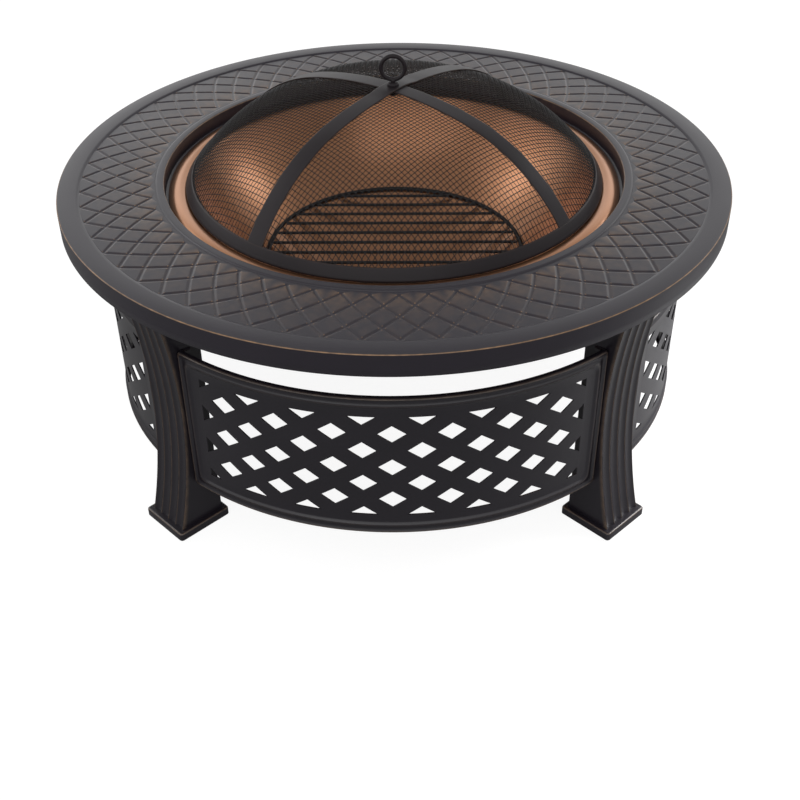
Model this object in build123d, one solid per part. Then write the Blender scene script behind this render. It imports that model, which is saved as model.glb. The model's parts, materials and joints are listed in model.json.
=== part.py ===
from build123d import *
import os
from math import asin, atan2, cos, degrees, hypot, pi, radians, sin, sqrt

# Fire pit with a pierced steel base, an embossed table ring, a copper bowl, a wire grate and a mesh screen
# Millimetres, +Z up, origin on the floor below the ring's axis, front towards -Y, legs on the diagonals

# Table ring
ring_radius = 406.0  # outside of the skirt
ring_top = 346.0  # crest of the smooth border above the floor
ring_sheet = 1.6
skirt_depth = 27.0
skirt_corner = 2.0  # rounding between skirt and border
border_width = 26.0
border_crown = 1.0  # how far the border bulges above its edges
hole_radius = 280.0  # inside of the down-turned inner wall
lip_width = 11.0  # flat lip round the hole
lip_corner = 1.5
step_run = 1.5  # slope between the band and its borders
wall_depth = 19.0  # border crest to the ledge that carries the bowl
ledge_width = 14.0

# Embossed band of the ring
band_drop = 1.5  # plain edges of the band below the border's crest
groove_depth = 1.6
tiles_around = 62
tile_half_rows = 4
tile_rise = 0.1  # tiles above the band's plain edges
tile_groove = 2.0  # floor of the grooves between the raised diamonds
tile_bevel = 45.0  # lean of a tile's sides
tile_turn = 1.6  # pattern's turn from the middle of the front
outer_edge = 1.5  # plain edges of the band, outside and inside the diamonds
inner_edge = 6.0
tile_lap = 3.0  # half diamonds run on under the plain edges

# Legs and feet
leg_inset = 38.0  # ring's edge to the waist of a leg
leg_width = 58.0
leg_depth = 60.0  # at the foot; the back is straight
leg_sheet = 1.6
leg_bow_radius = 600.0  # the leg bows in between its ends
waist_height = 175.0
flutes = 4
flute_depth = 3.0
foot_height = 11.0
foot_margin = 6.5
foot_round = 4.0  # upright edges
foot_edge = 2.0  # rounding of the top edges
tongue_height = 8.0  # foot's tongue inside the leg
fit_gap = 0.3

# Panels
panel_setback = 4.0  # leg's waist to the panel's face
panel_bottom = 70.0
panel_height = 190.0
panel_sheet = 1.5
panel_flange = 18.0  # depth of the ends, which are bolted to the legs
panel_fold = 6.0  # depth of the turned-in top and bottom edges
panel_border = 13.0
border_corner = 10.0
press_depth = 2.5  # recess of the pierced field
column_pitch = 32.4  # along the arc
row_pitch = 23.0
end_column = 7  # columns each side of the middle one
end_row = 3
opening_width = 32.2
opening_height = 23.0

# Fasteners
bolt_radius = 2.9
bolt_clearance = 0.3
nut_flats = 10.0
nut_height = 5.0
head_height = 4.0
bolt_end = 2.0  # thread past a nut
bolt_edge = 7.0  # free edge of a panel's flange to its bolts
panel_bolt_edge = 45.0  # panel's edge to its bolts
bracket_sheet = 3.0
bracket_tab = 30.0
stud_spacing = 30.0

# Fire bowl
bowl_clearance = 4.0  # flange to the ring's inner wall
bowl_sheet = 1.5
flange_width = 26.0
flange_crown = 5.0
bowl_depth = 155.0
rest_gap = 0.3  # between pieces that lift apart

# Grate
grate_radius = 162.0  # middle of the hoop's wire
hoop_wire = 5.0
bar_wire = 4.0
bar_pitch = 25.4
bar_count = 12

# Screen
rim_inset = 2.0  # rim's bead outside the bowl's mouth
screen_rise = 109.5  # bead to the crown of the mesh
crown_radius = 510.0
crown_reach = 110.0  # crown arc ends here, the shoulder arc begins
mesh_sheet = 1.2
mesh_cells = 12  # openings across, a coarse grid for the fine weave
mesh_bar = 8.0
crown_plate = 20.0  # left whole under the handle
hem_sheet = 1.2
hem_width = 13.0
bead_radius = 2.6
layer_gap = 0.25  # between layers of the screen
strap_width = 22.0
strap_sheet = 1.5
strap_turn = 7.0  # straps away from the legs' diagonals
joggle_run = 12.0  # upper strap steps down beside the crossing

# Handle
loop_radius = 14.1  # middle of the handle's wire
loop_wire = 5.2
neck_height = 3.0
collar_radius = 7.0
collar_height = 4.0
collar_chamfer = 1.3
washer_radius = 9.0
washer_height = 1.5

front_angle = -90
leg_angles = {"front_right": -45, "back_right": 45, "back_left": 135, "front_left": -135}
panel_angles = {"front": front_angle, "right": 0, "back": 90, "left": 180}

# Levels and radii that several pieces share
band_top = ring_top - band_drop
groove_floor = band_top - groove_depth
field_under = groove_floor - ring_sheet
field_outer = ring_radius - border_width
field_inner = hole_radius + lip_width
tiles_outer = field_outer - outer_edge
tiles_inner = field_inner + inner_edge
ledge_top = ring_top - wall_depth
waist_radius = ring_radius - leg_inset
panel_radius = waist_radius - panel_setback
panel_top = panel_bottom + panel_height
bracket_under = field_under - bracket_sheet
bolt_hole = bolt_radius + bolt_clearance
flange_outer = hole_radius - bowl_clearance
mouth_radius = flange_outer - flange_width
far = 4 * ring_radius  # reach of cutting blocks


def section(*curves):
    return make_face([Plane.XZ * curve for curve in curves])


def turned(*curves):
    return revolve(section(*curves), Axis.Z)


def outline(*points):
    return make_face(Plane.XZ * Polyline(*points, close=True))


def polar(radius, angle):
    return (radius * cos(radians(angle)), radius * sin(radians(angle)))


def tile(points):
    # Points run anticlockwise, so that the tile rises
    plan = make_face(Polyline(*points, close=True))
    return Pos(0, 0, groove_floor) * extrude(plan, groove_depth + tile_rise, taper=tile_bevel)


def ring_tiles():
    # Rows of diamonds in polar coordinates, every second row half a pitch on, half diamonds along the edges
    row = (tiles_outer - tiles_inner) / tile_half_rows
    pitch = 360 / tiles_around
    inset = tile_groove * sqrt(0.5)
    tiles = []
    for level in range(tile_half_rows + 1):
        middle = tiles_inner + level * row
        half = degrees(pi / tiles_around - inset / middle)
        outer = [polar(middle + row - inset, 0)]
        inner = [polar(middle - row + inset, 0)]
        if level == tile_half_rows:
            outer = [polar(middle + tile_lap, -half), polar(middle + tile_lap, half)]
        if level == 0:
            inner = [polar(middle - tile_lap, half), polar(middle - tile_lap, -half)]
        single = tile([polar(middle, -half)] + outer + [polar(middle, half)] + inner)
        start = front_angle + tile_turn + (0 if level % 2 else pitch / 2)
        tiles += [Rot(Z=start + k * pitch) * single for k in range(tiles_around)]
    return tiles


def table_ring():
    skirt_low = ring_top - skirt_depth
    edge_top = ring_top - border_crown
    edge_radius = ring_radius - skirt_corner
    border_mid = (edge_radius + field_outer + step_run) / 2
    lip_end = hole_radius + lip_corner
    bend = skirt_corner * (1 - sqrt(0.5))
    lip_bend = lip_corner * (1 - sqrt(0.5))
    band = [
        (field_outer + step_run, edge_top),
        (field_outer, band_top),
        (tiles_outer + groove_depth, band_top),
        (tiles_outer, groove_floor),
        (tiles_inner, groove_floor),
        (tiles_inner - groove_depth, band_top),
        (field_inner, band_top),
        (field_inner - step_run, ring_top),
        (lip_end, ring_top),
    ]
    wall_back = hole_radius + ring_sheet
    skirt_back = ring_radius - ring_sheet
    under = [
        (hole_radius, ring_top - lip_corner),
        (hole_radius, ledge_top),
        (hole_radius - ledge_width, ledge_top),
        (hole_radius - ledge_width, ledge_top - ring_sheet),
        (wall_back, ledge_top - ring_sheet),
        (wall_back, field_under),
        (field_outer, field_under),
        (field_outer + step_run, edge_top - ring_sheet),
        (edge_radius, edge_top - ring_sheet),
        (skirt_back, edge_top - skirt_corner),
        (skirt_back, skirt_low),
        (ring_radius, skirt_low),
        (ring_radius, edge_top - skirt_corner),
    ]
    curves = [
        ThreePointArc(under[-1], (ring_radius - bend, edge_top - bend), (edge_radius, edge_top)),
        ThreePointArc((edge_radius, edge_top), (border_mid, ring_top), band[0]),
        ThreePointArc(band[-1], (hole_radius + lip_bend, ring_top - lip_bend), under[0]),
    ]
    for points in (band, under):
        curves += [Line(a, b) for a, b in zip(points, points[1:])]
    return turned(*curves) + ring_tiles()


def leg_face(height):
    # Radius of the outer face of a leg at a height
    return waist_radius + leg_bow_radius - sqrt(leg_bow_radius**2 - (height - waist_height) ** 2)


def leg_back():
    return leg_face(foot_height) - leg_depth


def leg_blank():
    # Channel section with a fluted outer face, swung round a far axis so that the leg bows inwards
    half = leg_width / 2
    flute = leg_width / flutes
    inner = waist_radius - flute_depth - leg_sheet
    back = waist_radius - leg_depth
    edges = []
    for k in range(flutes):
        low = -half + k * flute
        middle = (waist_radius - flute_depth, low + flute / 2)
        edges.append(ThreePointArc((waist_radius, low), middle, (waist_radius, low + flute)))
    inside = half - leg_sheet
    walls = Polyline(
        (waist_radius, half),
        (back, half),
        (back, inside),
        (inner, inside),
        (inner, -inside),
        (back, -inside),
        (back, -half),
        (waist_radius, -half),
    )
    channel = Pos(0, 0, waist_height) * make_face(edges + walls.edges())
    swing = Axis((waist_radius + leg_bow_radius, 0, waist_height), (0, 1, 0))
    reach = max(waist_height, ring_top - waist_height)
    sweep_angle = degrees(asin(reach / leg_bow_radius))
    return revolve(channel, swing, sweep_angle) + revolve(channel, swing, -sweep_angle)


def bolt_sites():
    # Bolt axes in a leg's own frame, along its width: panel bolts and bracket bolts
    panel_x = panel_radius - panel_flange + bolt_edge
    panel_levels = (panel_bottom + panel_bolt_edge, panel_top - panel_bolt_edge)
    bracket_x = leg_face(bracket_under) - leg_depth / 2
    return [(panel_x, level) for level in panel_levels], [(bracket_x, bracket_under - bracket_tab / 2)]


def cross_hole(x, level):
    return Pos(x, 0, level) * Rot(X=90) * Cylinder(bolt_hole, far)


def leg():
    # Blank cut level at both ends and straight along its back
    keep = Box(far, far, bracket_under - foot_height, align=(Align.MIN, Align.CENTER, Align.MIN))
    body = leg_blank() & Pos(leg_back(), 0, foot_height) * keep
    panel_sites, bracket_sites = bolt_sites()
    return body - [cross_hole(x, level) for x, level in panel_sites + bracket_sites]


def foot():
    outer = leg_face(foot_height) + foot_margin
    depth = leg_depth + 2 * foot_margin
    width = leg_width + 2 * foot_margin
    plinth = Pos(outer - depth / 2, 0, foot_height / 2) * Box(depth, width, foot_height)
    plinth = fillet(plinth.edges().filter_by(Axis.Z), foot_round)
    plinth = fillet(plinth.faces().sort_by(Axis.Z)[-1].edges(), foot_edge)
    tongue_front = leg_face(foot_height + tongue_height) - flute_depth - leg_sheet - fit_gap
    tongue = Box(
        tongue_front - leg_back(),
        leg_width - 2 * leg_sheet - 2 * fit_gap,
        tongue_height,
        align=(Align.MIN, Align.CENTER, Align.MIN),
    )
    return plinth + Pos(leg_back(), 0, foot_height) * tongue


def bracket():
    # Plate under the ring with two tabs inside the leg
    front = leg_face(bracket_under)
    plate = Box(
        leg_depth, leg_width, bracket_sheet, align=(Align.MAX, Align.CENTER, Align.MIN)
    )
    body = Pos(front, 0, bracket_under) * plate
    panel_sites, bracket_sites = bolt_sites()
    tab_y = leg_width / 2 - leg_sheet - fit_gap - bracket_sheet / 2
    for side in (-1, 1):
        tab = Box(bracket_tab, bracket_sheet, bracket_tab, align=(Align.CENTER, Align.CENTER, Align.MAX))
        body += Pos(bracket_sites[0][0], side * tab_y, bracket_under) * tab
    body -= [Pos(x, 0, field_under) * Cylinder(bolt_hole, far) for x in stud_places()]
    return body - [cross_hole(x, level) for x, level in bracket_sites]


def stud_places():
    middle = leg_face(bracket_under) - leg_depth / 2
    return [middle - stud_spacing / 2, middle + stud_spacing / 2]


def nut():
    hexagon = extrude(RegularPolygon(nut_flats / 2, 6, major_radius=False), nut_height)
    return hexagon - Pos(0, 0, nut_height / 2) * Cylinder(bolt_radius + fit_gap / 2, far)


def bolt(grip):
    # Head below the origin, shank up through the grip and the nut
    head = extrude(RegularPolygon(nut_flats / 2, 6, major_radius=False), -head_height)
    shank = Cylinder(
        bolt_radius, grip + nut_height + bolt_end, align=(Align.CENTER, Align.CENTER, Align.MIN)
    )
    return head + shank


def side_fasteners(sites, head_y, grip):
    # Bolts along a leg's width, heads inside the leg and nuts outside it
    bolts = []
    nuts = []
    for x, level in sites:
        for side in (-1, 1):
            lay = Pos(x, side * head_y, level) * Rot(X=-90 * side)
            bolts.append(lay * bolt(grip))
            nuts.append(lay * Pos(0, 0, grip) * nut())
    return bolts, nuts


def at_legs(shapes):
    return [Rot(Z=angle) * shape for angle in leg_angles.values() for shape in shapes]


def sector(inner, outer, low, high):
    # Quarter ring about +X between two radii and two levels
    face = outline((inner, low), (outer, low), (outer, high), (inner, high))
    return Rot(Z=-45) * revolve(face, Axis.Z, 90)


def between_legs(body, margin):
    # Trims a quarter ring to the flat sides of the two legs, less a margin
    block = Box(far, leg_width + 2 * margin, far)
    return body - [Rot(Z=45) * block, Rot(Z=-45) * block]


def rounded_field(inner, outer, inset, corner):
    field = sector(inner, outer, panel_bottom + inset, panel_top - inset)
    field = between_legs(field, inset)
    corners = [e for e in field.edges().filter_by(GeomType.LINE) if abs(e.tangent_at(0.5).Z) < 0.5]
    return fillet(corners, corner)


def opening(column, row):
    # Diamond prism along the radius; the halves and quarters at the edges leave out their outer corners
    width = opening_width / 2
    height = opening_height / 2
    corners = [(width, 0), (0, height), (-width, 0), (0, -height)]
    dropped = [column == end_column, row == end_row, column == -end_column, row == -end_row]
    points = [corner for corner, gone in zip(corners, dropped) if not gone]
    if sum(dropped) == 2:
        points.append((0, 0))
    prism = extrude(Plane.YZ * make_face(Polyline(*points, close=True)), 2 * press_depth + panel_sheet)
    sheet_radius = panel_radius - press_depth
    middle = (panel_bottom + panel_top) / 2
    place = Pos(sheet_radius - panel_sheet - press_depth, 0, middle + row * row_pitch)
    return Rot(Z=degrees(column * column_pitch / sheet_radius)) * place * prism


def lattice():
    columns = range(-end_column, end_column + 1)
    rows = range(-end_row, end_row + 1)
    return [opening(c, r) for c in columns for r in rows if (c + r) % 2 == 0]


def panel():
    # Pressed sheet: deep ends, shallow folds, flat border and a recessed, pierced field with rounded corners
    back = panel_radius - panel_flange
    field_face = panel_radius - press_depth
    field_back = field_face - panel_sheet
    body = between_legs(sector(back, panel_radius, panel_bottom, panel_top), 0)
    cavity = sector(back - panel_sheet, panel_radius - panel_sheet,
                    panel_bottom + panel_sheet, panel_top - panel_sheet)
    cavity = between_legs(cavity, panel_sheet)
    behind_folds = sector(back - panel_sheet, panel_radius - panel_fold, 0, ring_top)
    cavity += between_legs(behind_folds, panel_sheet)
    island = rounded_field(field_back, panel_radius, panel_border - panel_sheet, border_corner + panel_sheet)
    pocket = rounded_field(field_face, panel_radius + press_depth, panel_border, border_corner)
    body = body - (cavity - island) - pocket - lattice()
    panel_sites, bracket_sites = bolt_sites()
    holes = [cross_hole(x, level) for x, level in panel_sites]
    return body - [Rot(Z=turn) * hole for turn in (-45, 45) for hole in holes]


# Arcs of the bowl: a spherical dish and a convex flange that share their mouth
mouth_level = ledge_top + rest_gap + bowl_sheet
dish_radius = (mouth_radius**2 + bowl_depth**2) / (2 * bowl_depth)
dish_centre = mouth_level - bowl_depth + dish_radius
flange_radius = ((flange_width / 2) ** 2 + flange_crown**2) / (2 * flange_crown)
flange_middle = mouth_radius + flange_width / 2
flange_centre = mouth_level + flange_crown - flange_radius


def arc_point(centre, radius, angle):
    # Point of a section's arc, with the angle measured from +Z towards the outside
    return (centre[0] + radius * sin(angle), centre[1] + radius * cos(angle))


def arc_band(centre, inner, outer, start, end):
    # Sheet between two concentric arcs
    middle = (start + end) / 2
    points = [[arc_point(centre, r, a) for a in (start, middle, end)] for r in (inner, outer)]
    return [
        ThreePointArc(*points[0]),
        Line(points[0][2], points[1][2]),
        ThreePointArc(*points[1]),
        Line(points[1][0], points[0][0]),
    ]


def fire_bowl():
    mouth_angle = pi - asin(mouth_radius / dish_radius)
    dish = turned(*arc_band((0, dish_centre), dish_radius, dish_radius + bowl_sheet, pi, mouth_angle))
    lean = asin(flange_width / 2 / flange_radius)
    flange = arc_band(
        (flange_middle, flange_centre), flange_radius - bowl_sheet, flange_radius, -lean, lean
    )
    return dish + turned(*flange)


def hoop_level():
    # The hoop lies against the dish
    touch = dish_radius - hoop_wire / 2 - rest_gap
    return dish_centre - sqrt(touch**2 - grate_radius**2)


def grate_hoop():
    return Pos(0, 0, hoop_level()) * Torus(grate_radius, hoop_wire / 2)


def grate_bars():
    inside = Pos(0, 0, hoop_level()) * Cylinder(grate_radius - hoop_wire / 2 - fit_gap, far)
    bars = []
    for k in range(bar_count):
        place = (k - (bar_count - 1) / 2) * bar_pitch
        rod = Pos(0, place, hoop_level()) * Rot(Y=90) * Cylinder(bar_wire / 2, far)
        bars.append(rod & inside)
    return Compound(children=bars)


# Meridian of the screen: a crown arc on the axis and a shoulder arc tangent to it, down to the rim's bead
bead_ring = mouth_radius + rim_inset
bead_reach = flange_radius + rest_gap + bead_radius
bead_level = flange_centre + sqrt(bead_reach**2 - (bead_ring - flange_middle) ** 2)
crown_level = bead_level + screen_rise
crown_angle = asin(crown_reach / crown_radius)
crown_drop = crown_radius * (1 - cos(crown_angle))
shoulder_chord = hypot(bead_ring - crown_reach, screen_rise - crown_drop)
shoulder_slope = atan2(screen_rise - crown_drop, bead_ring - crown_reach)
rim_angle = 2 * shoulder_slope - crown_angle
shoulder_radius = shoulder_chord / 2 / sin(shoulder_slope - crown_angle)
crown_centre = (0, crown_level - crown_radius)
shoulder_centre = arc_point(crown_centre, crown_radius - shoulder_radius, crown_angle)


def dome_point(angle, lift):
    if angle < crown_angle:
        return arc_point(crown_centre, crown_radius + lift, angle)
    return arc_point(shoulder_centre, shoulder_radius + lift, angle)


def dome_arcs(lift, start, end):
    spans = [(start, end)]
    if start < crown_angle < end:
        spans = [(start, crown_angle), (crown_angle, end)]
    arcs = []
    for low, high in spans:
        middle = (low + high) / 2
        arcs.append(ThreePointArc(*[dome_point(a, lift) for a in (low, middle, high)]))
    return arcs


def dome_shell(low, high, start, end):
    # Sheet between two lifts above the meridian, turned about the axis
    ends = [Line(dome_point(a, low), dome_point(a, high)) for a in (start, end)]
    return turned(*dome_arcs(low, start, end), *dome_arcs(high, start, end), *ends)


hem_angle = rim_angle - hem_width / shoulder_radius
mesh_end = rim_angle - bead_radius / shoulder_radius
shank_hole = asin(bolt_hole / crown_radius)
strap_low = mesh_sheet + layer_gap
strap_high = strap_low + strap_sheet + layer_gap
strap_end = hem_angle - layer_gap / shoulder_radius


def mesh_openings():
    # Square cells inside the hem, with bars along the straps' middles
    reach = dome_point(hem_angle, 0)[0]
    pitch = 2 * reach / mesh_cells
    size = pitch - mesh_bar
    places = [(k - (mesh_cells - 1) / 2) * pitch for k in range(mesh_cells)]
    cells = [Pos(x, y, crown_level) * Box(size, size, 2 * screen_rise)
             for x in places for y in places
             if hypot(abs(x) - size / 2, abs(y) - size / 2) < reach - mesh_bar]
    kept = Cylinder(reach, far) - Cylinder(crown_plate, far)
    return [Rot(Z=45 + strap_turn) * (cell & kept) for cell in cells]


def screen_mesh():
    return dome_shell(0, mesh_sheet, shank_hole, mesh_end) - mesh_openings()


def screen_rim():
    # Folded hem round the edge of the mesh, closed by a rolled bead
    outer_leaf = dome_shell(strap_low, strap_low + hem_sheet, hem_angle, rim_angle)
    inner_leaf = dome_shell(-layer_gap - hem_sheet, -layer_gap, hem_angle, rim_angle)
    bead_middle = dome_point(rim_angle, mesh_sheet / 2)
    bead = Pos(0, 0, bead_middle[1]) * Torus(bead_middle[0], bead_radius)
    clear = mesh_end + layer_gap / shoulder_radius
    slot = dome_shell(-layer_gap, strap_low, hem_angle, clear)
    return outer_leaf + inner_leaf + bead - slot


def strap_strip(shell, turn):
    slab = Box(far, strap_width, far)
    return shell & Rot(Z=turn) * slab


def strap_lower():
    shell = dome_shell(strap_low, strap_low + strap_sheet, shank_hole, strap_end)
    return strap_strip(shell, strap_turn - 45)


def strap_upper():
    # Lies on the mesh like the lower strap, and steps up over it at the crown
    flat_end = (strap_width / sqrt(2) + layer_gap) / crown_radius
    ramp_end = flat_end + joggle_run / crown_radius
    raised = (strap_high, strap_high + strap_sheet)
    laid = (strap_low, strap_low + strap_sheet)
    curves = []
    for high, low in zip(raised, laid):
        curves += dome_arcs(high, shank_hole, flat_end)
        curves.append(Line(dome_point(flat_end, high), dome_point(ramp_end, low)))
        curves += dome_arcs(low, ramp_end, strap_end)
    curves.append(Line(dome_point(shank_hole, raised[0]), dome_point(shank_hole, raised[1])))
    curves.append(Line(dome_point(strap_end, laid[0]), dome_point(strap_end, laid[1])))
    return strap_strip(turned(*curves), strap_turn + 45)


# Stack of the handle on the crown
collar_bottom = crown_level + strap_high + strap_sheet
loop_level = collar_bottom + collar_height + neck_height + loop_radius
washer_top = crown_level - layer_gap
shank_bottom = washer_top - washer_height - nut_height - bolt_end


def handle_ring():
    # Wire loop on a shank through the straps and the mesh
    loop = Pos(0, 0, loop_level) * Rot(X=90) * Torus(loop_radius, loop_wire / 2)
    length = loop_level - loop_radius - shank_bottom
    shank = Cylinder(bolt_radius, length, align=(Align.CENTER, Align.CENTER, Align.MIN))
    return loop + Pos(0, 0, shank_bottom) * shank


def disc(radius, bottom, height):
    plate = Cylinder(radius, height, align=(Align.CENTER, Align.CENTER, Align.MIN))
    bore = Cylinder(bolt_radius + fit_gap / 2, far)
    return Pos(0, 0, bottom) * (plate - bore)


def handle_collar():
    collar = disc(collar_radius, collar_bottom, collar_height)
    return chamfer(collar.edges().group_by(Axis.Z)[-1].sort_by(SortBy.RADIUS)[-1], collar_chamfer)


def save(name, shape):
    shape.label = name
    export_step(shape, f"parts/{name}.step")


def main():
    os.makedirs("parts", exist_ok=True)
    save("table_ring", table_ring())
    one_leg = leg()
    one_foot = foot()
    one_bracket = bracket()
    for name, angle in leg_angles.items():
        save(f"leg_{name}", Rot(Z=angle) * one_leg)
        save(f"foot_{name}", Rot(Z=angle) * one_foot)
        save(f"bracket_{name}", Rot(Z=angle) * one_bracket)
    one_panel = panel()
    for name, angle in panel_angles.items():
        save(f"panel_{name}", Rot(Z=angle) * one_panel)

    panel_sites, bracket_sites = bolt_sites()
    leg_inside = leg_width / 2 - leg_sheet
    bolts, nuts = side_fasteners(panel_sites, leg_inside, leg_sheet + panel_sheet)
    save("panel_bolts", Compound(children=at_legs(bolts)))
    save("panel_nuts", Compound(children=at_legs(nuts)))
    tab_inside = leg_inside - fit_gap - bracket_sheet
    bolts, nuts = side_fasteners(bracket_sites, tab_inside, bracket_sheet + fit_gap + leg_sheet)
    save("bracket_bolts", Compound(children=at_legs(bolts)))
    save("bracket_nuts", Compound(children=at_legs(nuts)))
    stud_length = bracket_sheet + nut_height + bolt_end
    stud = Cylinder(bolt_radius, stud_length, align=(Align.CENTER, Align.CENTER, Align.MAX))
    studs = [Pos(x, 0, field_under) * stud for x in stud_places()]
    save("ring_studs", Compound(children=at_legs(studs)))
    stud_nuts = [Pos(x, 0, bracket_under - nut_height) * nut() for x in stud_places()]
    save("ring_nuts", Compound(children=at_legs(stud_nuts)))

    save("fire_bowl", fire_bowl())
    save("grate_hoop", grate_hoop())
    save("grate_bars", grate_bars())
    save("screen_mesh", screen_mesh())
    save("screen_rim", screen_rim())
    save("strap_lower", strap_lower())
    save("strap_upper", strap_upper())
    save("handle_ring", handle_ring())
    save("handle_collar", handle_collar())
    save("handle_washer", disc(washer_radius, washer_top - washer_height, washer_height))
    save("handle_nut", Pos(0, 0, washer_top - washer_height - nut_height) * nut())


main()
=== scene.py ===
import json
import bpy
import numpy as np
from mathutils import Matrix


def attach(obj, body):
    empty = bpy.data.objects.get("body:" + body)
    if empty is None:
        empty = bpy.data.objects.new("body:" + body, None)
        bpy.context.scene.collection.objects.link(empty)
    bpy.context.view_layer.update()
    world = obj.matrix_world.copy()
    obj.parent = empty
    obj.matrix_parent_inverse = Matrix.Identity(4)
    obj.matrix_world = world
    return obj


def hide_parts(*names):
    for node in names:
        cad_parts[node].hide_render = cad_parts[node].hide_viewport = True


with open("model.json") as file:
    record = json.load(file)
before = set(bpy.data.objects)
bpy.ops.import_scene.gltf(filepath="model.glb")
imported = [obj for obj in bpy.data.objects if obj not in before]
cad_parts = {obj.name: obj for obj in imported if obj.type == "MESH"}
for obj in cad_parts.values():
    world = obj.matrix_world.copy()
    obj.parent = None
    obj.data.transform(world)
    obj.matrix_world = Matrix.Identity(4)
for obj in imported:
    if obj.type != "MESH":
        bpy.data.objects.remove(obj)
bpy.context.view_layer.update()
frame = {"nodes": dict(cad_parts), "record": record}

nodes = frame["nodes"]
mm = 0.001
print("frame loaded:", len(nodes), "nodes")


def hexColour(code):  # sRGB hex to linear RGBA, by the standard's own curve
    parts = np.array([int(code[i:i + 2], 16) for i in (1, 3, 5)]) / 255
    linear = np.where(parts <= 0.04045, parts / 12.92, ((parts + 0.055) / 1.055) ** 2.4)
    return [*linear.tolist(), 1.0]


def addNode(tree, kind, values=None, links=None, **settings):
    node = tree.nodes.new(kind)
    for name, setting in settings.items():
        setattr(node, name, setting)
    for socket, value in (values or {}).items():
        node.inputs[socket].default_value = value
    for socket, source in (links or {}).items():
        tree.links.new(source, node.inputs[socket])
    return node


def newTree(name):
    material = bpy.data.materials.new(name)
    material.use_nodes = True
    material.node_tree.nodes.clear()
    return material, material.node_tree


def perMetre(sizeMm):  # noise scale whose blobs are about this many millimetres
    return 1 / (sizeMm * mm)


coat = dict(detail=dict(blotch=3.0, grit=2.0, wear=4.0), wearGain=1.5, wornFrom=0.04, wornFull=0.85, peel=0.4,
            ior=1.5)


# Powder-coated steel, satin, rubbed through to a bronze wash on its edges:
# it gives a soft sheen, faint blotches, warm worn lines, and on the ring's tile tips bronze spots that are partly
# painted glints
def rubbedPaint(name, finish):
    material, tree = newTree(name)
    place = addNode(tree, "ShaderNodeTexCoord").outputs["Object"]
    noise = {kind: addNode(tree, "ShaderNodeTexNoise", {"Scale": perMetre(finish[kind]), "Detail": detail},
                           {"Vector": place}).outputs["Fac"]
             for kind, detail in coat["detail"].items()}
    paint = addNode(tree, "ShaderNodeMix", {"A": hexColour(finish["dark"]), "B": hexColour(finish["light"])},
                    {"Factor": noise["blotch"]}, data_type="RGBA")
    # the attribute holds worn bronze, and on the ring's tile tips a bronze spot that is partly a painted glint
    wearAndGlint = addNode(tree, "ShaderNodeAttribute", attribute_name="wearAndGlint")
    patchy = addNode(tree, "ShaderNodeMath", {1: coat["wearGain"]}, {0: noise["wear"]}, operation="MULTIPLY")
    worn = addNode(tree, "ShaderNodeMath", {}, {0: wearAndGlint.outputs["Fac"], 1: patchy.outputs[0]}, operation="MULTIPLY")
    share = addNode(tree, "ShaderNodeMapRange",
                    {"From Min": coat["wornFrom"], "From Max": coat["wornFull"], "To Max": finish["bronzeMost"]},
                    {"Value": worn.outputs[0]})
    colour = addNode(tree, "ShaderNodeMix", {"B": hexColour(finish["bronze"])},
                     {"Factor": share.outputs[0], "A": paint.outputs["Result"]}, data_type="RGBA")
    gloss = addNode(tree, "ShaderNodeMapRange", {"To Min": finish["smooth"], "To Max": finish["rough"]},
                    {"Value": noise["blotch"]})
    peel = addNode(tree, "ShaderNodeBump", {"Strength": finish["bump"], "Distance": coat["peel"] * mm},
                   {"Height": noise["grit"]})
    shader = addNode(tree, "ShaderNodeBsdfPrincipled", {"IOR": coat["ior"], "Specular IOR Level": finish["shine"]},
                     {"Base Color": colour.outputs["Result"], "Roughness": gloss.outputs[0],
                      "Normal": peel.outputs[0]})
    addNode(tree, "ShaderNodeOutputMaterial", {}, {"Surface": shader.outputs[0]})
    return material


spun = dict(cloudDetail=4.0, lineDetail=1.0, lineWander=1.0, lineHeight=0.2, waveRadians=20.0)  # a wave's at scale 1


# Spun steel with a satin copper finish under lacquer:
# it gives a metallic glow, pale highlights, faint turning lines and cloudy tarnish
def satinCopper(name, finish):
    material, tree = newTree(name)
    place = addNode(tree, "ShaderNodeTexCoord").outputs["Object"]
    cloud = addNode(tree, "ShaderNodeTexNoise",
                    {"Scale": perMetre(finish["cloud"]), "Detail": spun["cloudDetail"]},
                    {"Vector": place}).outputs["Fac"]
    wavesPerMetre = perMetre(finish["lines"]) * 2 * np.pi / spun["waveRadians"]
    lines = addNode(tree, "ShaderNodeTexWave",
                    {"Scale": wavesPerMetre, "Distortion": spun["lineWander"], "Detail": spun["lineDetail"]},
                    {"Vector": place}, wave_type="RINGS", rings_direction="Z")
    colour = addNode(tree, "ShaderNodeMix", {"A": hexColour(finish["deep"]), "B": hexColour(finish["bright"])},
                     {"Factor": cloud}, data_type="RGBA")
    gloss = addNode(tree, "ShaderNodeMapRange", {"To Min": finish["smooth"], "To Max": finish["rough"]},
                    {"Value": cloud})
    turned = addNode(tree, "ShaderNodeBump", {"Strength": finish["bump"], "Distance": spun["lineHeight"] * mm},
                     {"Height": lines.outputs["Fac"]})
    shader = addNode(tree, "ShaderNodeBsdfPrincipled",
                     {"Metallic": finish["metal"], "Coat Weight": finish["lacquer"],
                      "Coat Roughness": finish["lacquerRough"]},
                     {"Base Color": colour.outputs["Result"], "Roughness": gloss.outputs[0],
                      "Normal": turned.outputs[0]})
    addNode(tree, "ShaderNodeOutputMaterial", {}, {"Surface": shader.outputs[0]})
    return material


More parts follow.
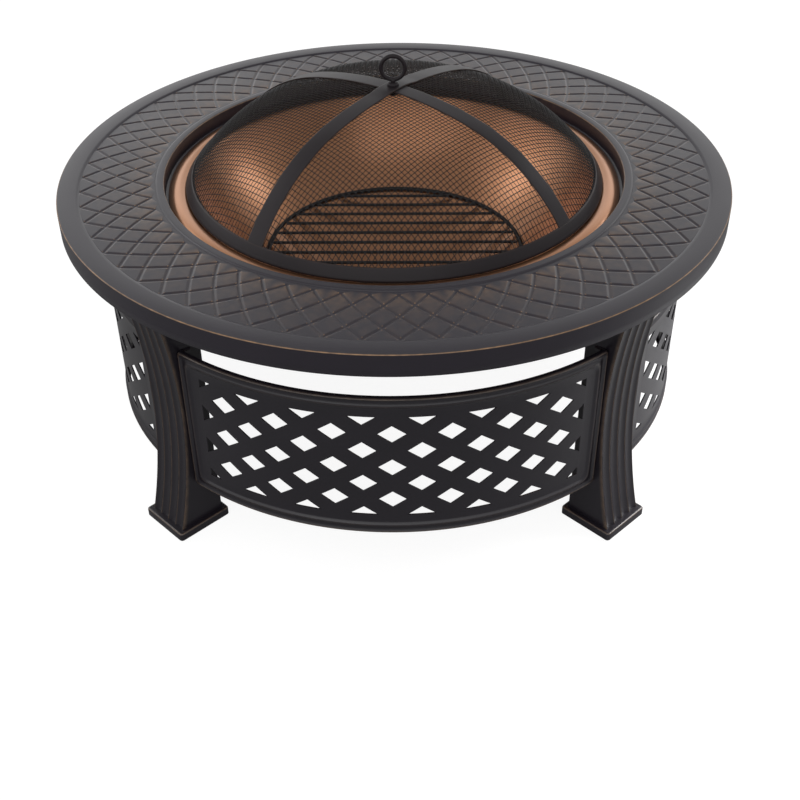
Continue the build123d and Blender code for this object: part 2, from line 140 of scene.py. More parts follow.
# Zinc-plated steel: it gives a bright grey metal with a slightly cloudy skin
def zincPlate(name, finish):
    material, tree = newTree(name)
    place = addNode(tree, "ShaderNodeTexCoord").outputs["Object"]
    cloud = addNode(tree, "ShaderNodeTexNoise", {"Scale": perMetre(finish["cloud"])}, {"Vector": place})
    colour = addNode(tree, "ShaderNodeMix", {"A": hexColour(finish["dark"]), "B": hexColour(finish["light"])},
                     {"Factor": cloud.outputs["Fac"]}, data_type="RGBA")
    shader = addNode(tree, "ShaderNodeBsdfPrincipled", {"Metallic": 1.0, "Roughness": finish["rough"]},
                     {"Base Color": colour.outputs["Result"]})
    addNode(tree, "ShaderNodeOutputMaterial", {}, {"Surface": shader.outputs[0]})
    return material


# Pattern sizes are in millimetres; the paints' grit and the bowl's turning lines are finer in the real ones,
# and are drawn as coarse as they need to show
# the bronze is pale gold: worn edges, and at the tile tips partly a painted glint
ringPaint = rubbedPaint("powderCoatCharcoal", dict(  # baked on pressed steel: warm charcoal, bronze at its edges
    dark="#211d24", light="#29252d", bronze="#b08a62", bronzeMost=0.8, blotch=70, grit=1.4, wear=9,
    smooth=0.32, rough=0.4, bump=0.12, shine=0.42))
framePaint = rubbedPaint("powderCoatBlack", dict(  # the same in black: glossier, with streaks down the flutes
    dark="#17141a", light="#1f1b22", bronze="#75614f", bronzeMost=0.5, blotch=60, grit=1.4, wear=9,
    smooth=0.26, rough=0.36, bump=0.12, shine=0.62))
screenPaint = rubbedPaint("heatProofBlack", dict(  # sprayed on steel strip: near black, dull, hardly worn
    dark="#1f1b1d", light="#272225", bronze="#4a3e36", bronzeMost=0.4, blotch=40, grit=1.2, wear=8,
    smooth=0.36, rough=0.46, bump=0.1, shine=0.16))
wirePaint = rubbedPaint("blackenedWire", dict(  # drawn steel wire, blackened: thin dull lines, no wear
    dark="#1a1818", light="#222021", bronze="#4a3e36", bronzeMost=0.0, blotch=30, grit=1.2, wear=8,
    smooth=0.45, rough=0.55, bump=0.0, shine=0.3))
gratePaint = rubbedPaint("sootBlackSteel", dict(  # round steel bar under soot: black and dry, with little shine
    dark="#161415", light="#1e1c1d", bronze="#3c322c", bronzeMost=0.3, blotch=25, grit=1.2, wear=8,
    smooth=0.5, rough=0.62, bump=0.15, shine=0.3))
bowlCopper = satinCopper("satinCopper", dict(
    deep="#a7734f", bright="#b7835f", cloud=90, lines=18.85, smooth=0.26, rough=0.34, bump=0.05, metal=0.95,
    lacquer=0.5, lacquerRough=0.18))
boltZinc = zincPlate("zincPlate", dict(dark="#77777a", light="#98989b", cloud=6, rough=0.35))
slotMaterials = {"ring_finish": ringPaint, "frame_finish": framePaint, "bowl_copper": bowlCopper,
                 "grate_black": gratePaint, "screen_black": screenPaint, "screen_mesh_black": wirePaint,
                 "fastener_steel": boltZinc}
for entry in frame["record"]["subparts"]:  # every CAD node takes the finish of its slot
    node = nodes[entry["node"]]
    node.data.materials.clear()
    node.data.materials.append(slotMaterials[entry["material_slot"]])
print("materials made:", len(slotMaterials))


def gridFaces(rows, columns, wrapRows=False, wrapColumns=False, start=0):  # quads of a grid of points, row by row
    r = np.arange(rows if wrapRows else rows - 1)[:, None]
    c = np.arange(columns if wrapColumns else columns - 1)[None, :]
    below, beside = (r + 1) % rows, (c + 1) % columns
    corners = [r * columns + c, r * columns + beside, below * columns + beside, below * columns + c]
    return start + np.stack(np.broadcast_arrays(*corners), -1).reshape(-1, 4)


def endCaps(rows, columns):  # one face over the first row of a grid and one over the last
    loop = np.arange(columns)[None, :]
    return [loop[:, ::-1], loop + (rows - 1) * columns]


def volumeOf(points, faces):  # signed volume of a closed shell, from fans of its faces
    total = 0.0
    for group in faces:
        corners = points[group]
        for k in range(1, group.shape[1] - 1):
            total += np.einsum("ij,ij->i", corners[:, 0], np.cross(corners[:, k], corners[:, k + 1])).sum()
    return total


def joinShells(shells):  # several (points, faces, wear and glint) as one, each turned to face outwards
    points, faces, wearAndGlintArrays, start = [], [], [], 0
    for shellPoints, shellFaces, wearAndGlint in shells:
        if volumeOf(shellPoints, shellFaces) < 0:
            shellFaces = [group[:, ::-1] for group in shellFaces]
        faces += [group + start for group in shellFaces]
        points.append(shellPoints)
        wearAndGlintArrays.append(wearAndGlint)
        start += len(shellPoints)
    return np.concatenate(points), faces, np.concatenate(wearAndGlintArrays)


def addPiece(name, shells, body, slot, replaced, sharp=40):  # shells in millimetres become one mesh object
    points, faces, wearAndGlint = joinShells(shells)
    mesh = bpy.data.meshes.new(name)
    mesh.vertices.add(len(points))
    mesh.vertices.foreach_set("co", (points * mm).astype(np.float32).ravel())
    corners = np.concatenate([group.ravel() for group in faces])
    sizes = np.concatenate([np.full(len(group), group.shape[1]) for group in faces])
    mesh.loops.add(len(corners))
    mesh.loops.foreach_set("vertex_index", corners.astype(np.int32))
    mesh.polygons.add(len(sizes))
    mesh.polygons.foreach_set("loop_start", (np.cumsum(sizes) - sizes).astype(np.int32))
    mesh.polygons.foreach_set("use_smooth", np.ones(len(sizes), bool))
    mesh.update(calc_edges=True)
    # per-point bronze share: worn edges, and on the ring's tile tips partly a painted glint
    mesh.attributes.new("wearAndGlint", "FLOAT", "POINT").data.foreach_set("value", wearAndGlint.astype(np.float32))
    mesh.set_sharp_from_angle(angle=np.radians(sharp))
    mesh.materials.append(slotMaterials[slot])
    piece = bpy.data.objects.new(name, mesh)
    bpy.context.scene.collection.objects.link(piece)
    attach(piece, body)
    for node in replaced:
        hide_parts(node)
    print("piece", name, len(sizes), "faces")


def arc(centre, radius, start, end, count):  # points of a section's arc, angles from +Z towards the outside
    angle = np.linspace(start, end, count)
    return np.stack([centre[0] + radius * np.sin(angle), centre[1] + radius * np.cos(angle)], 1)


def line(start, end, count=2):  # evenly spaced points of a straight run
    return np.linspace(start, end, count)


def lathe(profile, steps, wearAndGlint=None):  # a closed section (radius, height) turned about Z
    angle = np.arange(steps) * 2 * np.pi / steps
    radius, height = profile[:, :1], profile[:, 1:]
    turned = np.broadcast_arrays(radius * np.cos(angle), radius * np.sin(angle), height)
    wearAndGlint = np.zeros(len(profile)) if wearAndGlint is None else wearAndGlint
    return np.stack(turned, -1).reshape(-1, 3), [gridFaces(len(profile), steps, True, True)], np.repeat(wearAndGlint, steps)


def latheCapped(profile, steps):  # a section from axis to axis, turned about Z, its poles closed by fans
    points = lathe(profile[1:-1], steps)[0]
    rows = len(profile) - 2
    ring = np.arange(steps)
    beside, top = (ring + 1) % steps, (rows - 1) * steps
    first, last = rows * steps, rows * steps + 1
    poles = np.array([[0, 0, profile[0, 1]], [0, 0, profile[-1, 1]]])
    fans = [np.stack([np.full(steps, first), beside, ring], 1),
            np.stack([np.full(steps, last), ring + top, beside + top], 1)]
    return np.concatenate([points, poles]), [gridFaces(rows, steps, False, True)] + fans, np.zeros(first + 2)


def turnAbout(shell, degrees):  # the same shell turned about Z
    c, s = np.cos(np.radians(degrees)), np.sin(np.radians(degrees))
    points, faces, wearAndGlint = shell
    return points @ np.array([[c, s, 0], [-s, c, 0], [0, 0, 1]]), faces, wearAndGlint


def bump(value, width):  # bell from 1 at zero
    return np.exp(-(value / width) ** 2)


def closedSheet(keys, quads, sides, wearAndGlintOf):
    # Plate from a patchwork in its own two coordinates:
    # equal points are merged, collapsed quads dropped, and free edges walled
    keys, merged = np.unique(np.round(keys, 6), axis=0, return_inverse=True)
    quads = merged.ravel()[quads]
    diagonals = keys[quads[:, 2:]] - keys[quads[:, :2]]
    quads = quads[np.abs(np.linalg.det(diagonals)) > 1e-7]
    edges = np.concatenate([quads[:, [k, (k + 1) % 4]] for k in range(4)])
    ways = edges @ [[len(keys), 1], [1, len(keys)]]  # a number for each edge, read one way and the other
    free = edges[~np.isin(ways[:, 0], ways[:, 1])]
    walls = np.concatenate([free[:, ::-1], free + len(keys)], 1)
    used, faces = np.unique(np.concatenate([quads, quads[:, ::-1] + len(keys), walls]), return_inverse=True)
    return np.concatenate(sides(keys))[used], [faces.reshape(-1, 4)], np.tile(wearAndGlintOf(keys), 2)[used]


tableRing = dict(outer=406.0, crest=346.0, edge=345.5, corner=1.2, cornerEase=0.3, cornerEnd=0.1, skirtLow=319.0,
                 hem=0.4, sheet=1.6, fieldOuter=380.0, fieldInner=291.0, band=344.5, brink=0.5, brinkDip=0.2,
                 brinkRise=(0.1, 0.3), bedDrop=2.2, bedSheet=1.0, step=1.5, stepDip=0.1, hole=280.0, lipCorner=1.5,
                 ledge=266.0, ledgeTop=327.0, wallRun=3.0, wallFoot=0.5, skirtSteps=4, cornerSteps=7, crownSteps=9,
                 lipSteps=6, ledgeSteps=3, steps=330, skirtWear=0.85, skirtIn=0.35, lipWear=0.6, lipIn=0.3,
                 lipDown=0.6, wearWide=0.6, lipWide=0.7)  # millimetres, as in every piece below


def ringSection(s):
    # Outline of the pressed sheet: skirt, corner, crowned border, sunk bed of the band, flat lip, wall, ledge,
    # and back along the underside
    outer, inside, hole, hem = s["outer"], s["outer"] - s["sheet"], s["hole"], s["hem"]
    crest, edge, corner, band, step = s["crest"], s["edge"], s["corner"], s["band"], s["step"]
    fieldOuter, fieldInner, ledgeTop = s["fieldOuter"], s["fieldInner"], s["ledgeTop"]
    border = (outer - corner + fieldOuter + step) / 2
    half = outer - corner - border
    crown = crest - edge
    roll = (half ** 2 + crown ** 2) / (2 * crown)
    lean = np.arcsin(half / roll)
    bed = band - s["bedDrop"]
    under, ledgeUnder = bed - s["bedSheet"], ledgeTop - s["sheet"]
    dip = band - s["brinkDip"]
    brinkOut, brinkIn = band + np.array(s["brinkRise"])
    runs = [
        line((outer, s["skirtLow"] + hem), (outer, edge - corner - s["cornerEase"]), s["skirtSteps"]),
        arc((outer - corner, edge - corner), corner, np.pi / 2, s["cornerEnd"], s["cornerSteps"]),
        arc((border, crest - roll), roll, lean, -lean, s["crownSteps"]),
        [(fieldOuter + s["brink"], brinkOut), (fieldOuter, dip), (fieldOuter, bed)],
        [(fieldInner, bed), (fieldInner, dip), (fieldInner - s["brink"], brinkIn)],
        line((fieldInner - step, crest - s["stepDip"]), (fieldInner - 2 * step, crest)),
        arc((hole + s["lipCorner"], crest - s["lipCorner"]), s["lipCorner"], 0, -np.pi / 2, s["lipSteps"]),
        line((hole, ledgeTop + s["wallRun"]), (hole, ledgeTop + s["wallFoot"])),
        line((hole - s["wallFoot"], ledgeTop), (s["ledge"], ledgeTop), s["ledgeSteps"]),
        line((s["ledge"], ledgeUnder), (hole + s["sheet"], ledgeUnder)),
        line((hole + s["sheet"], under), (fieldOuter, under)),
        line((outer - corner, edge - s["sheet"]), (inside, edge - corner)),
        line((inside, s["skirtLow"] + hem), (inside + hem, s["skirtLow"])),
        [(outer - hem, s["skirtLow"])],
    ]
    return np.concatenate(runs)


def smoothRing(s):  # the section turned about Z, worn to bronze along the skirt's corner and the lip's edge
    profile = ringSection(s)
    radius, height = profile.T
    wide = s["wearWide"]
    skirt = bump(radius - s["outer"] + s["skirtIn"], wide) * bump(height - s["edge"] + s["skirtIn"], wide)
    lip = bump(radius - s["hole"] - s["lipIn"], wide) * bump(height - s["crest"] + s["lipDown"], s["lipWide"])
    return lathe(profile, s["steps"], np.maximum(s["skirtWear"] * skirt, s["lipWear"] * lip))


# the bronze at the tile tips (the tip keys) is partly wear and partly a painted glint
emboss = dict(outer=378.5, inner=297.0, around=62, rows=4, turn=1.6, depth=0.95, front=-90.0,
              across=(0.0, 0.0286, 0.0573, 0.084, 0.1107, 0.13, 0.87, 0.8893, 0.916, 0.9427, 0.9714, 1.0),
              slope=(0.0, 0.75, 1.5, 2.2, 2.9), fall=(1.0, 0.84, 0.48, 0.14, 0.0), bed=2.1, lap=0.4, fade=12,
              allWear=0.07, tipWearAndGlint=0.9, tipAt=2.7, tipWide=0.35, tipClear=1.8)


def embossedBand(s, ring):
    # Patches between two families of slanting lines, turn + level / 2 and turn - level / 2, both counted in tiles
    band = (s["outer"] - s["inner"]) / s["rows"]
    tile, step = np.arange(s["around"])[:, None, None, None], np.arange(-1, s["rows"] + 2)[:, None, None]
    one, two = np.array(s["across"])[:, None], np.array(s["across"])
    first, second = np.broadcast_arrays(tile + step + one, tile + two + 0 * step)
    low = (ring["fieldInner"] - s["lap"] - s["inner"]) / band
    high = (ring["fieldOuter"] + s["lap"] - s["inner"]) / band
    level = np.clip(first - second, low, high)
    keys = np.stack([np.mod(np.round((first + second) / 2, 6), s["around"]), level], -1).reshape(-1, 2)
    count = len(s["across"])
    patches = tile.size * step.size
    quads = (np.arange(patches)[:, None, None] * count ** 2 + gridFaces(count, count)).reshape(-1, 4)

    def radiusOf(keys):
        return s["inner"] + keys[:, 1] * band

    def apartFrom(keys):  # distances from both families of lines
        spacing = 1 / np.hypot(s["around"] / (2 * np.pi * radiusOf(keys)), 0.5 / band)
        slants = [keys[:, 0] + keys[:, 1] / 2, keys[:, 0] - keys[:, 1] / 2]
        return [np.abs(slant - np.round(slant)) * spacing for slant in slants]

    def within(keys):  # 1 on the diamonds, 0 on the plain edges
        return np.clip(np.minimum(keys[:, 1], s["rows"] - keys[:, 1]) * s["fade"] + 1, 0, 1)

    def sides(keys):  # the embossed face, and the flat bed under it
        groove = np.maximum(*[np.interp(distance, s["slope"], s["fall"]) for distance in apartFrom(keys)])
        height = ring["band"] - within(keys) * s["depth"] * groove
        angle = np.radians(s["front"] + s["turn"]) + keys[:, 0] * 2 * np.pi / s["around"]
        plan = radiusOf(keys)[:, None] * np.stack([np.cos(angle), np.sin(angle)], 1)
        bed = np.full(len(keys), ring["band"] - s["bed"])
        return np.column_stack([plan, height]), np.column_stack([plan, bed])

    def wearAndGlintOf(keys):  # tiles worn a little all over; at the tips, where two grooves meet, a strong bronze spot that is partly wear and partly a painted glint
        apart = apartFrom(keys)
        # painted glint: bronze spots at the tile tips, partly wear
        wornAndGlintingTips = bump(np.maximum(*apart) - s["tipAt"], s["tipWide"]) * (np.minimum(*apart) > s["tipClear"])
        return within(keys) * (s["allWear"] + s["tipWearAndGlint"] * wornAndGlintingTips)

    return closedSheet(keys, quads, sides, wearAndGlintOf)


ringShells = [smoothRing(tableRing), embossedBand(emboss, tableRing)]
addPiece("tableRing", ringShells, "base", "ring_finish", ["table_ring"], sharp=50)


leg = dict(waistRadius=368.0, waistHeight=175.0, bow=600.0, width=58.0, depth=60.0, sheet=1.6, flutes=4,
           fluteDepth=3.0, fluteForm=1.4, perFlute=14, ridgeDrop=0.35, ridgeWide=0.05, edgeInset=1.2, sideSteps=10,
           low=11.0, high=338.4, levels=48, sideRun=40, cornerWear=1.4, ridgeWear=0.035)


def bowedFace(s, inset, z):  # radius of a line that keeps its distance from the bow's far axis
    centre = s["waistRadius"] + s["bow"]
    return centre - np.sqrt((s["bow"] + inset) ** 2 - (z - s["waistHeight"]) ** 2)


def flutedLeg(s):
    # Channel section carried up a bowed line; its sides run from the bowed face to a straight back
    across = np.concatenate([k + (1 - np.cos(np.linspace(0, np.pi, s["perFlute"], endpoint=False))) / 2
                             for k in range(s["flutes"])] + [[s["flutes"]]])
    part = across - np.floor(across)
    ridge = np.minimum(part, 1 - part)
    hollow = np.sqrt(np.clip(1 - (2 * part - 1) ** 2, 0, 1)) ** s["fluteForm"]
    inset = s["fluteDepth"] * hollow + s["ridgeDrop"] * bump(ridge, s["ridgeWide"])
    halfWidth = s["width"] / 2
    y = (across / s["flutes"] - 0.5) * s["width"]
    steps, face = s["sideSteps"], slice(1, -1)
    run, plain = np.linspace(0, 1, steps), np.full(steps, s["edgeInset"])
    share = np.concatenate([run, np.ones(len(y) - 2), run[::-1]])
    depth = np.concatenate([plain, inset[face], plain])
    side = np.concatenate([np.full(steps, -halfWidth), y[face], np.full(steps, halfWidth)])
    half = len(side)
    share = np.concatenate([share, share[::-1]])
    depth = np.concatenate([depth, np.full(half, s["fluteDepth"] + s["sheet"])])
    side = np.concatenate([side, side[::-1] * (halfWidth - s["sheet"]) / halfWidth])
    z = np.linspace(s["low"], s["high"], s["levels"])[:, None]
    back = bowedFace(s, 0, s["low"]) - s["depth"]
    x = back + share * (bowedFace(s, depth, z) - back)
    points = np.stack(np.broadcast_arrays(x, side, z), -1).reshape(-1, 3)
    count, k = 2 * half, np.arange(half - 1)
    cap = np.stack([k, k + 1, count - 2 - k, count - 1 - k], 1)
    faces = [gridFaces(s["levels"], count, False, True), cap[:, ::-1], cap + (s["levels"] - 1) * count]
    corner = bump((1 - run) * s["sideRun"], s["cornerWear"])
    wearAndGlint = np.concatenate([corner, bump(ridge, s["ridgeWear"])[face], corner[::-1], np.zeros(half)])
    return points, faces, np.tile(wearAndGlint, s["levels"])


foot = dict(margin=6.5, width=71.0, depth=73.0, corner=4.0, leastCorner=0.3, height=11.0, edge=2.2, soleEdge=0.6,
            flatRun=1.0, reach=30.0, edgeSteps=6, perCorner=6, perSide=8, wearAt=0.3, wearWide=0.9)


def roundedOutline(halfX, halfY, corner, perCorner, perSide):  # rectangle of corner arcs joined by straight runs
    quarter = np.linspace(0, np.pi / 2, perCorner)
    parts = []
    for k, (sx, sy) in enumerate([(1, 1), (-1, 1), (-1, -1), (1, -1)]):
        turn = quarter + k * np.pi / 2
        centre = np.array([sx * (halfX - corner), sy * (halfY - corner)])
        parts.append(centre + corner * np.stack([np.cos(turn), np.sin(turn)], 1))
    runs = []
    for k in range(4):
        runs += [parts[k], line(parts[k][-1], parts[(k + 1) % 4][0], perSide)[1:-1]]
    return np.concatenate(runs)


def plinthFoot(s, front):
    # Rounded rectangles stacked by a section of inset and height: sole, side, rounded top edge, flat top
    edge, top, sole, worn = s["edge"], s["height"], s["soleEdge"], s["edge"] * s["wearAt"]
    turn = np.linspace(0, np.pi / 2, s["edgeSteps"])
    inset = np.concatenate([[s["reach"], sole, 0.0], edge * (1 - np.cos(turn)), [edge + s["flatRun"], s["reach"]]])
    height = np.concatenate([[0.0, 0.0, sole], top - edge + edge * np.sin(turn), [top, top]])
    loops = [roundedOutline(s["depth"] / 2 - i, s["width"] / 2 - i, max(s["corner"] - i, s["leastCorner"]),
                            s["perCorner"], s["perSide"]) for i in inset]
    count = len(loops[0])
    points = np.concatenate([np.column_stack([loop, np.full(count, h)]) for loop, h in zip(loops, height)])
    points[:, 0] += front - s["depth"] / 2
    faces = [gridFaces(len(inset), count, False, True)] + endCaps(len(inset), count)
    wearAndGlint = bump(height - top + worn, s["wearWide"]) * bump(inset - worn, s["wearWide"])
    return points, faces, np.repeat(wearAndGlint, count)


legTurns = {"front_right": -45, "back_right": 45, "back_left": 135, "front_left": -135}
legShell = flutedLeg(leg)
footShell = plinthFoot(foot, bowedFace(leg, 0, leg["low"]) + foot["margin"])
for place, turn in legTurns.items():
    addPiece("leg." + place, [turnAbout(legShell, turn)], "base", "frame_finish", ["leg_" + place])
    addPiece("foot." + place, [turnAbout(footShell, turn)], "base", "frame_finish", ["foot_" + place])


panel = dict(radius=364.0, bottom=70.0, height=190.0, flange=18.0, fold=6.0, foldRun=1.0, sheet=1.5, press=2.5,
             legHalf=29.0, gap=0.2, corner=3.0, cornerGrow=0.55, fieldCorner=0.02, perCorner=6, perSide=66,
             rimInset=(0.0, 0.5, 1.5, 3.0, 4.6, 7.2, 9.2, 10.8, 12.4, 13.8, 16.0),
             rimRise=(-2.6, -0.8, 0.0, -0.5, -1.5, -1.7, -0.7, 0.0, -0.6, -1.9, -2.5),
             backInset=16.0, backStep=(12.0, 0.8), endRun=0.5, onField=-1.0,  # stands for the field's outline
             rimWear=1.2, beadWear=11.4, beadShare=0.35, wearWide=0.8, wearFloor=-2.0,
             columnPitch=32.4, rowPitch=23.0, endColumn=7, endRow=3, openWidth=32.2, openHeight=23.0,
             perEdge=4, spreadSteps=4)


def onPanel(s, x, y, rise):  # arc length at the pierced sheet, height from mid panel and rise, as a point about +X
    angle = x / (s["radius"] - s["press"])
    radius = s["radius"] + rise
    return np.stack([radius * np.cos(angle), radius * np.sin(angle), y + s["bottom"] + s["height"] / 2], -1)


def panelFrame(s):
    # Section of inset and rise carried round rounded rectangles: turned-in flange, rim, hollow, bead, margin,
    # and back behind them
    fieldX, fieldY = s["endColumn"] * s["columnPitch"], s["endRow"] * s["rowPitch"]
    behind = -s["press"] - s["sheet"]
    backIn, raised = s["backStep"][0], behind + s["backStep"][1]
    section = np.concatenate([
        [(0, -s["flange"]), (0, -s["fold"] + s["foldRun"])], np.stack([s["rimInset"], s["rimRise"]], 1),
        [(s["onField"], -s["press"]), (s["onField"], behind), (s["backInset"], behind), (backIn, raised),
         (s["sheet"], raised), (s["sheet"], -s["flange"])]])
    loops = []
    for inset, rise in section:
        if inset == s["onField"]:
            outline = roundedOutline(fieldX, fieldY, s["fieldCorner"], s["perCorner"], s["perSide"])
        else:
            end = np.pi / 4 - np.arcsin(s["legHalf"] / (s["radius"] + rise))
            halfX = end * (s["radius"] - s["press"]) - s["gap"]
            corner = s["corner"] + s["cornerGrow"] * inset
            outline = roundedOutline(halfX - inset, s["height"] / 2 - inset, corner, s["perCorner"], s["perSide"])
            if rise < -s["fold"]:  # only the ends, bolted to the legs, are this deep
                rise = np.where(np.abs(outline[:, 0]) > halfX - inset - s["endRun"], rise, -s["fold"])
        loops.append(onPanel(s, outline[:, 0], outline[:, 1], rise))
    count = len(loops[0])
    inset, rise = section.T
    worn = np.maximum(bump(inset - s["rimWear"], s["wearWide"]),
                      s["beadShare"] * bump(inset - s["beadWear"], s["wearWide"]))
    wearAndGlint = np.repeat(worn * (rise > s["wearFloor"]), count)
    return np.concatenate(loops), [gridFaces(len(loops), count, True, True)], wearAndGlint


def panelLattice(s):
    # One diamond ring of sheet round each opening, cut off at the field's edges; then both faces and all the edges
    columns, rows = [np.arange(-end, end + 1) for end in (s["endColumn"], s["endRow"])]
    column, row = np.meshgrid(columns, rows)
    keep = (column + row) % 2 == 0
    pitch = np.array([s["columnPitch"], s["rowPitch"]])
    centre = np.stack([column[keep], row[keep]], -1) * pitch
    around, rings = 4 * s["perEdge"], s["spreadSteps"]
    walk = np.arange(around) / s["perEdge"]  # once round a diamond of four edges
    turn = np.stack([np.abs((walk + 2) % 4 - 2) - 1, np.abs((walk + 3) % 4 - 2) - 1], -1)
    hole = np.array([s["openWidth"], s["openHeight"]]) / 2
    reach = hole + (pitch - hole) * np.linspace(0, 1, rings)[:, None]
    limit = pitch * [s["endColumn"], s["endRow"]]
    flat = np.clip(centre[:, None, None] + reach[:, None] * turn, -limit, limit).reshape(-1, 2)
    quads = np.concatenate([gridFaces(rings, around, False, True, rings * around * k) for k in range(len(centre))])

    def sides(keys):
        return [onPanel(s, keys[:, 0], keys[:, 1], level) for level in (-s["press"], -s["press"] - s["sheet"])]

    return closedSheet(flat, quads, sides, lambda keys: np.zeros(len(keys)))


panelTurns = {"front": -90, "right": 0, "back": 90, "left": 180}
panelShells = [panelFrame(panel), panelLattice(panel)]
for place, turn in panelTurns.items():
    turned = [turnAbout(shell, turn) for shell in panelShells]
    addPiece("panel." + place, turned, "base", "frame_finish", ["panel_" + place], sharp=45)


bowl = dict(depth=155.0, mouth=250.0, mouthLevel=328.8, flange=26.0, crown=5.0, sheet=1.5, steps=240,
            dishSteps=60, flangeSteps=17, underSteps=40, underGap=0.004)


def spunBowl(s):
    # Section turned about Z: spherical dish, then a flange that arches over to its outer edge, and back underneath
    dish = (s["mouth"] ** 2 + s["depth"] ** 2) / (2 * s["depth"])
    centre = (0, s["mouthLevel"] - s["depth"] + dish)
    reach = np.arcsin(s["mouth"] / dish)
    roll = ((s["flange"] / 2) ** 2 + s["crown"] ** 2) / (2 * s["crown"])
    middle = (s["mouth"] + s["flange"] / 2, s["mouthLevel"] + s["crown"] - roll)
    lean = np.arcsin(s["flange"] / 2 / roll)
    inside = arc(centre, dish, np.pi, np.pi - reach, s["dishSteps"])
    over = arc(middle, roll, -lean, lean, s["flangeSteps"])[1:]
    beneath = arc(middle, roll - s["sheet"], lean, -lean, s["flangeSteps"])
    outside = arc(centre, dish + s["sheet"], np.pi - reach - s["underGap"], np.pi, s["underSteps"])
    profile = np.concatenate([inside, over, beneath, outside])
    profile[[0, -1], 0] = 0
    return latheCapped(profile, s["steps"])


addPiece("fireBowl", [spunBowl(bowl)], "bowl", "bowl_copper", ["fire_bowl"], sharp=60)


grate = dict(radius=162.0, level=229.07, hoop=2.5, bar=2.0, pitch=25.4, bars=12, gap=0.3, endRound=(0.7, 0.3),
             endRun=8, barSteps=9, barRound=14, hoopRound=16, hoopSteps=160)


def wireHoop(s):  # round section turned about Z
    turn = np.linspace(0, 2 * np.pi, s["hoopRound"], endpoint=False)
    section = np.stack([s["radius"] + s["hoop"] * np.cos(turn), s["level"] + s["hoop"] * np.sin(turn)], 1)
    return lathe(section, s["hoopSteps"])


def wireBar(s, offset):  # round bar along X with slightly rounded ends: a turned section laid on its side
    bar, run = s["bar"], s["endRun"]
    half = np.sqrt((s["radius"] - s["hoop"] - s["gap"]) ** 2 - (abs(offset) + bar) ** 2)
    end = np.array([[0, 0], [s["endRound"][0], 0], [1, s["endRound"][1]]])
    profile = np.concatenate([end * [bar, bar] + [0, -half],
                              line((bar, -half + run), (bar, half - run), s["barSteps"]),
                              (end * [bar, -bar] + [0, half])[::-1]])
    points, faces, wearAndGlint = latheCapped(profile, s["barRound"])
    return points[:, [2, 0, 1]] + [0, offset, s["level"]], faces, wearAndGlint


offsets = (np.arange(grate["bars"]) - (grate["bars"] - 1) / 2) * grate["pitch"]
addPiece("grateHoop", [wireHoop(grate)], "grate", "grate_black", ["grate_hoop"])
addPiece("grateBars", [wireBar(grate, offset) for offset in offsets], "grate", "grate_black", ["grate_bars"])


dome = dict(bead=252.0, beadLevel=333.8, beadRadius=2.6, rise=109.5, crownRadius=510.0, crownReach=110.0,
            hem=13.0, hemSheet=1.2, gap=0.25, mesh=1.2)
crownLevel = dome["beadLevel"] + dome["rise"]
crownAngle = np.arcsin(dome["crownReach"] / dome["crownRadius"])
crownDrop = dome["crownRadius"] * (1 - np.cos(crownAngle))
crownCentre = np.array([0, crownLevel - dome["crownRadius"]])
shoulderRun, shoulderFall = dome["bead"] - dome["crownReach"], dome["rise"] - crownDrop
shoulderSlope = np.arctan2(shoulderFall, shoulderRun)
shoulderRadius = np.hypot(shoulderRun, shoulderFall) / 2 / np.sin(shoulderSlope - crownAngle)
towardsJoin = np.array([np.sin(crownAngle), np.cos(crownAngle)])
shoulderCentre = crownCentre + (dome["crownRadius"] - shoulderRadius) * towardsJoin
rimAngle = 2 * shoulderSlope - crownAngle
hemAngle = rimAngle - dome["hem"] / shoulderRadius
strapLow = dome["mesh"] + dome["gap"]


def domePoint(angle, lift):  # meridian's radius and height, lifted outwards: crown arc by the axis, then shoulder
    onCrown = np.abs(angle) < crownAngle
    side = np.where(angle < 0, -1, 1)
    radius = np.where(onCrown, dome["crownRadius"], shoulderRadius) + lift
    along = np.where(onCrown, 0, shoulderCentre[0] * side) + radius * np.sin(angle)
    return along, np.where(onCrown, crownCentre[1], shoulderCentre[1]) + radius * np.cos(angle)


def domeAngle(radius):  # inverse of the meridian at lift 0
    crown = np.arcsin(np.clip(radius / dome["crownRadius"], -1, 1))
    shoulder = np.arcsin(np.clip((radius - shoulderCentre[0]) / shoulderRadius, -1, 1))
    return np.where(radius < dome["crownReach"], crown, shoulder)


weave = dict(pitch=5.0, wire=0.48, crimp=0.3, reach=250.0, turn=45.0)


